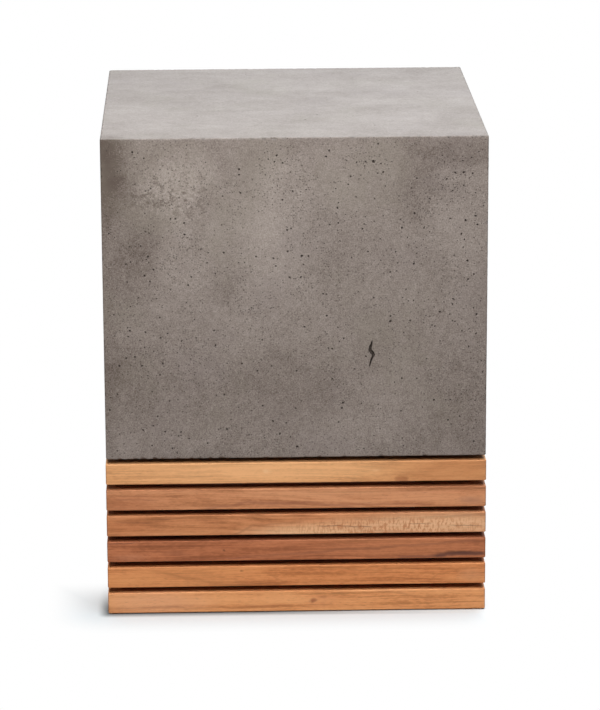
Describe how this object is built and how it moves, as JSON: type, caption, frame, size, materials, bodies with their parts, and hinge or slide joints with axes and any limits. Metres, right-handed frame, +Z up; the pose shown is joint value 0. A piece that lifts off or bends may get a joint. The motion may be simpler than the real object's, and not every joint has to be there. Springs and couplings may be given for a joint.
{
  "type": "garden stool",
  "caption": "Square single-seat garden stool: a hollow cast concrete block seat on a plinth of mitred horizontal teak slats with open gaps.",
  "frame": {"origin": "on the floor, under the middle of the stool", "axes": "+Z up, the front looks along -Y, +X to the right of someone who looks at the front"},
  "size_m": [0.3566, 0.3566, 0.4572],
  "materials": {
    "concrete": "cast concrete, matt, with air holes and cloudy patches",
    "teak": "smooth oiled teak, satin",
    "frame_teak": "planed teak, unfinished",
    "bedding_rubber": "matt black rubber",
    "glide_nylon": "matt black nylon",
    "bracket_steel": "zinc plated, dull",
    "fastener_steel": "stainless, satin",
    "insert_brass": "plain machined brass"
  },
  "bodies": {
    "root": {"bedding_strip_back": "bedding_rubber", "bedding_strip_front": "bedding_rubber", "bedding_strip_left": "bedding_rubber", "bedding_strip_right": "bedding_rubber", "bracket_back": "bracket_steel", "bracket_bolts": "fastener_steel", "bracket_front": "bracket_steel", "bracket_left": "bracket_steel", "bracket_right": "bracket_steel", "bracket_screws": "fastener_steel", "bracket_washers": "fastener_steel", "concrete_shell": "concrete", "corner_post_back_left": "frame_teak", "corner_post_back_right": "frame_teak", "corner_post_front_left": "frame_teak", "corner_post_front_right": "frame_teak", "glide_back_left": "glide_nylon", "glide_back_right": "glide_nylon", "glide_front_left": "glide_nylon", "glide_front_right": "glide_nylon", "glide_screws": "fastener_steel", "rail_screws": "fastener_steel", "slat_back_1": "teak", "slat_back_2": "teak", "slat_back_3": "teak", "slat_back_4": "teak", "slat_back_5": "teak", "slat_back_6": "teak", "slat_front_1": "teak", "slat_front_2": "teak", "slat_front_3": "teak", "slat_front_4": "teak", "slat_front_5": "teak", "slat_front_6": "teak", "slat_left_1": "teak", "slat_left_2": "teak", "slat_left_3": "teak", "slat_left_4": "teak", "slat_left_5": "teak", "slat_left_6": "teak", "slat_right_1": "teak", "slat_right_2": "teak", "slat_right_3": "teak", "slat_right_4": "teak", "slat_right_5": "teak", "slat_right_6": "teak", "slat_screws": "fastener_steel", "threaded_inserts": "insert_brass", "top_rail_back": "frame_teak", "top_rail_front": "frame_teak", "top_rail_left": "frame_teak", "top_rail_right": "frame_teak"}
  },
  "joints": []
}
